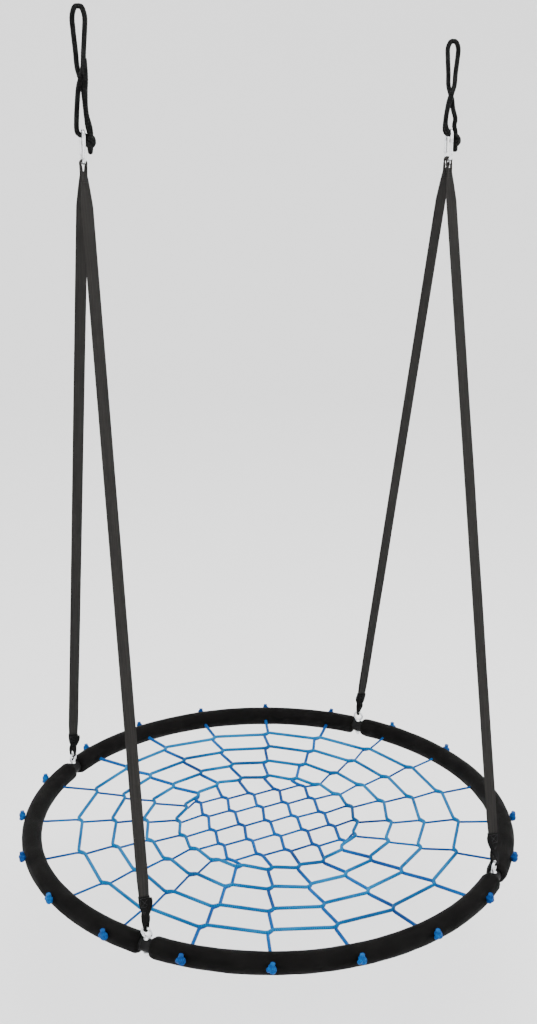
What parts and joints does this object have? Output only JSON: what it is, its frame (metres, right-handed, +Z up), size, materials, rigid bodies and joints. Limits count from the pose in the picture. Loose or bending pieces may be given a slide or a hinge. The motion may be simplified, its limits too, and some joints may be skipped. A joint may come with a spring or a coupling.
{
  "type": "round net swing",
  "caption": "Round rope-net swing seat on a padded steel ring, hung by webbing straps, carabiners and tied rope loops.",
  "frame": {"origin": "midway between the two rope loops, at the mean height of what they hang on", "axes": "+X from the left straps to the right straps, -Y to the front, +Z up"},
  "size_m": [1.0518, 1.052, 1.618],
  "materials": {
    "ring_steel": "satin black",
    "pad_foam": "closed-cell foam",
    "pad_fabric": "woven, slight sheen",
    "net_cord": "braided rope",
    "zinc_steel": "bright zinc plate",
    "strap_webbing": "woven webbing",
    "end_webbing": "woven webbing",
    "carabiner_steel": "bright zinc plate",
    "spring_steel": "plain spring steel",
    "hanging_rope": "braided rope"
  },
  "bodies": {
    "hanging_ropes": {"hanging_rope_left": "hanging_rope", "hanging_rope_right": "hanging_rope"},
    "left_carabiner": {"carabiner_left": "carabiner_steel", "gate_pin_left": "carabiner_steel"},
    "right_carabiner": {"carabiner_right": "carabiner_steel", "gate_pin_right": "carabiner_steel"},
    "left_gate": {"gate_left": "carabiner_steel", "gate_spring_left": "spring_steel"},
    "right_gate": {"gate_right": "carabiner_steel", "gate_spring_right": "spring_steel"},
    "left_straps": {"strap_front_left": "strap_webbing", "strap_end_front_left": "end_webbing", "strap_back_left": "strap_webbing", "strap_end_back_left": "end_webbing"},
    "right_straps": {"strap_front_right": "strap_webbing", "strap_end_front_right": "end_webbing", "strap_back_right": "strap_webbing", "strap_end_back_right": "end_webbing"},
    "seat": {"frame_tube_right": "ring_steel", "foam_sleeve_right": "pad_foam", "fabric_cover_right": "pad_fabric", "frame_tube_back": "ring_steel", "foam_sleeve_back": "pad_foam", "fabric_cover_back": "pad_fabric", "frame_tube_left": "ring_steel", "foam_sleeve_left": "pad_foam", "fabric_cover_left": "pad_fabric", "frame_tube_front": "ring_steel", "foam_sleeve_front": "pad_foam", "fabric_cover_front": "pad_fabric", "net_long_cord_1": "net_cord", "net_long_cord_2": "net_cord", "net_long_cord_3": "net_cord", "net_long_cord_4": "net_cord", "net_long_cord_5": "net_cord", "net_cross_cord_1": "net_cord", "net_cross_cord_2": "net_cord", "net_cross_cord_3": "net_cord", "net_cross_cord_4": "net_cord", "net_cross_cord_5": "net_cord", "net_ring_cord_1": "net_cord", "net_ring_cord_2": "net_cord", "net_ring_cord_3": "net_cord", "net_ring_cord_4": "net_cord", "eye_bolt_front_left": "zinc_steel", "washer_front_left": "zinc_steel", "nut_front_left": "zinc_steel", "eye_bolt_back_left": "zinc_steel", "washer_back_left": "zinc_steel", "nut_back_left": "zinc_steel", "eye_bolt_front_right": "zinc_steel", "washer_front_right": "zinc_steel", "nut_front_right": "zinc_steel", "eye_bolt_back_right": "zinc_steel", "washer_back_right": "zinc_steel", "nut_back_right": "zinc_steel"}
  },
  "joints": [
    {"name": "swing", "type": "hinge", "parent": "hanging_ropes", "child": "left_carabiner", "pos_m": [-0.34648, 0, -0.181], "axis": [1, 0, 0], "range_deg": [-45, 45]},
    {"name": "swing_right", "type": "hinge", "parent": "hanging_ropes", "child": "right_carabiner", "pos_m": [0.34648, 0, -0.181], "axis": [1, 0, 0], "range_deg": [-45, 45]},
    {"name": "sway", "type": "hinge", "parent": "left_carabiner", "child": "left_straps", "pos_m": [-0.34648, 0, -0.2272], "axis": [0, 1, 0], "range_deg": [-20, 20]},
    {"name": "sway_right", "type": "hinge", "parent": "right_carabiner", "child": "right_straps", "pos_m": [0.34648, 0, -0.2272], "axis": [0, 1, 0], "range_deg": [-20, 20]},
    {"name": "seat_level", "type": "hinge", "parent": "left_straps", "child": "seat", "pos_m": [-0.34648, 0, -1.5294], "axis": [0, 1, 0], "range_deg": [-20, 20]},
    {"name": "gate_left", "type": "hinge", "parent": "left_carabiner", "child": "left_gate", "pos_m": [-0.34648, 0.012, -0.2127], "axis": [1, 0, 0], "range_deg": [0, 25], "stiffness_Nm_per_rad": 0.02, "springref_deg": -20.05},
    {"name": "gate_right", "type": "hinge", "parent": "right_carabiner", "child": "right_gate", "pos_m": [0.34648, 0.012, -0.2127], "axis": [1, 0, 0], "range_deg": [0, 25], "stiffness_Nm_per_rad": 0.02, "springref_deg": -20.05}
  ],
  "couplings": [
    {"joint": "swing_right", "follows": "swing", "ratio": 1},
    {"joint": "sway_right", "follows": "sway", "ratio": 1},
    {"joint": "seat_level", "follows": "sway", "ratio": -1}
  ]
}
